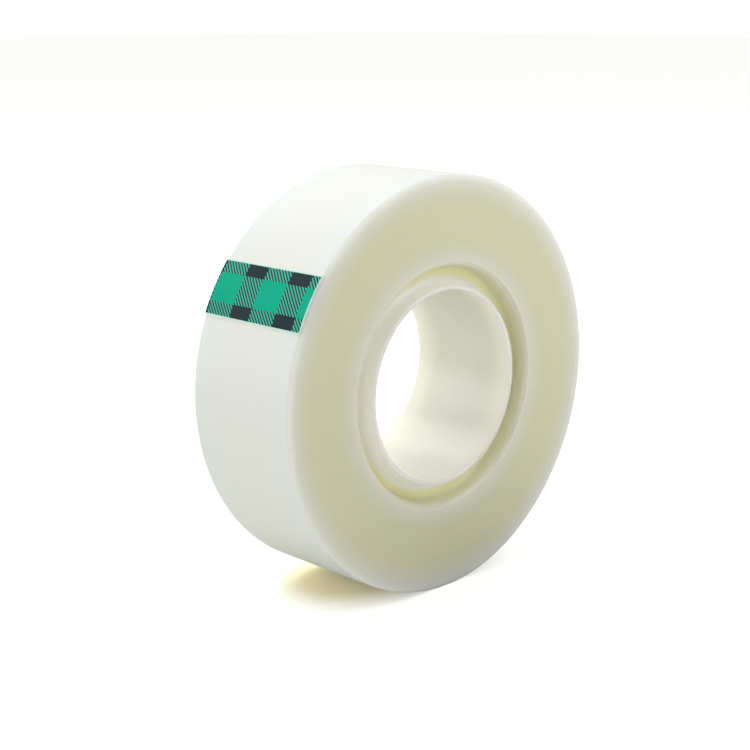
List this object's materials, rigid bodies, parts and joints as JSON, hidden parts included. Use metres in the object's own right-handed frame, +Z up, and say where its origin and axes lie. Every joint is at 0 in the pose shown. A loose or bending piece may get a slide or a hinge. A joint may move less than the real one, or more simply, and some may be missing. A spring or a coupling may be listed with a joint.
{
  "type": "roll of adhesive tape",
  "caption": "Roll of frosted adhesive tape on a moulded plastic core, standing on its edge, with a printed starter tab on the free end, which peels off the roll.",
  "frame": {"origin": "centre of the core's bore, halfway across the tape's width", "axes": "+Y along the bore, +Z up with the roll standing on its tread, +X to the right of the side face that looks to -Y"},
  "size_m": [0.0587, 0.019, 0.0588],
  "materials": {
    "core": "satin",
    "tape": "matte",
    "tab": "satin"
  },
  "bodies": {
    "roll": {"tape_core": "core", "tape_winding": "tape"},
    "strip_1": {"peel_strip_1": "tape"},
    "strip_2": {"peel_strip_2": "tape"},
    "strip_3": {"peel_strip_3": "tape"},
    "strip_4": {"peel_strip_4": "tape"},
    "strip_5": {"peel_strip_5": "tape"},
    "strip_6": {"peel_strip_6": "tape"},
    "tab": {"tape_end": "tape", "starter_tab": "tab"}
  },
  "joints": [
    {"name": "peel_1", "type": "hinge", "parent": "roll", "child": "strip_1", "pos_m": [-0.01479, 0, 0.02538], "axis": [0, 1, 0], "range_deg": [0, 20]},
    {"name": "peel_2", "type": "hinge", "parent": "strip_1", "child": "strip_2", "pos_m": [-0.01632, 0, 0.02443], "axis": [0, 1, 0], "range_deg": [0, 20]},
    {"name": "peel_3", "type": "hinge", "parent": "strip_2", "child": "strip_3", "pos_m": [-0.01779, 0, 0.02338], "axis": [0, 1, 0], "range_deg": [0, 20]},
    {"name": "peel_4", "type": "hinge", "parent": "strip_3", "child": "strip_4", "pos_m": [-0.01918, 0, 0.02225], "axis": [0, 1, 0], "range_deg": [0, 20]},
    {"name": "peel_5", "type": "hinge", "parent": "strip_4", "child": "strip_5", "pos_m": [-0.02051, 0, 0.02103], "axis": [0, 1, 0], "range_deg": [0, 20]},
    {"name": "peel_6", "type": "hinge", "parent": "strip_5", "child": "strip_6", "pos_m": [-0.02176, 0, 0.01974], "axis": [0, 1, 0], "range_deg": [0, 20]},
    {"name": "peel_tab", "type": "hinge", "parent": "strip_6", "child": "tab", "pos_m": [-0.02293, 0, 0.01837], "axis": [0, 1, 0], "range_deg": [0, 20]}
  ],
  "couplings": [
    {"joint": "peel_2", "follows": "peel_1", "ratio": 1},
    {"joint": "peel_3", "follows": "peel_1", "ratio": 1},
    {"joint": "peel_4", "follows": "peel_1", "ratio": 1},
    {"joint": "peel_5", "follows": "peel_1", "ratio": 1},
    {"joint": "peel_6", "follows": "peel_1", "ratio": 1},
    {"joint": "peel_tab", "follows": "peel_1", "ratio": 1}
  ]
}
